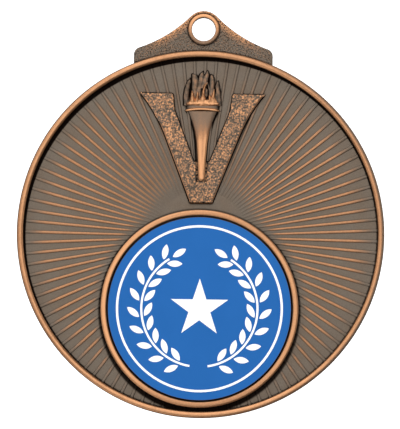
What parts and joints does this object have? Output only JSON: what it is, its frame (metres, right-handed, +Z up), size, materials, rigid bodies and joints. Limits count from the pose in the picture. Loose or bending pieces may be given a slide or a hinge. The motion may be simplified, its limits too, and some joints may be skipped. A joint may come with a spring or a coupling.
{
  "type": "finisher medal",
  "caption": "Round hanging medal with a ribbon eyelet, a sunray field, a raised chevron and torch, and a framed round printed insert.",
  "frame": {"origin": "centre of the ribbon hole, halfway through the thickness of the hanger plate", "axes": "+Z up through the hole as the medal hangs, -Y out of the front face, +X to the right of someone facing the front"},
  "size_m": [0.05, 0.0029, 0.0554],
  "materials": {
    "antique_bronze": "antiqued bronze plate over a zinc casting, burnished on the high edges",
    "adhesive": "matte",
    "bare_aluminium": "satin",
    "blue_film": "smooth gloss",
    "white_ink": "smooth gloss"
  },
  "bodies": {
    "root": {"medal_casting": "antique_bronze", "insert_adhesive": "adhesive", "insert_blank": "bare_aluminium", "insert_film": "blue_film", "printed_border": "white_ink", "printed_emblem": "white_ink"}
  },
  "joints": []
}
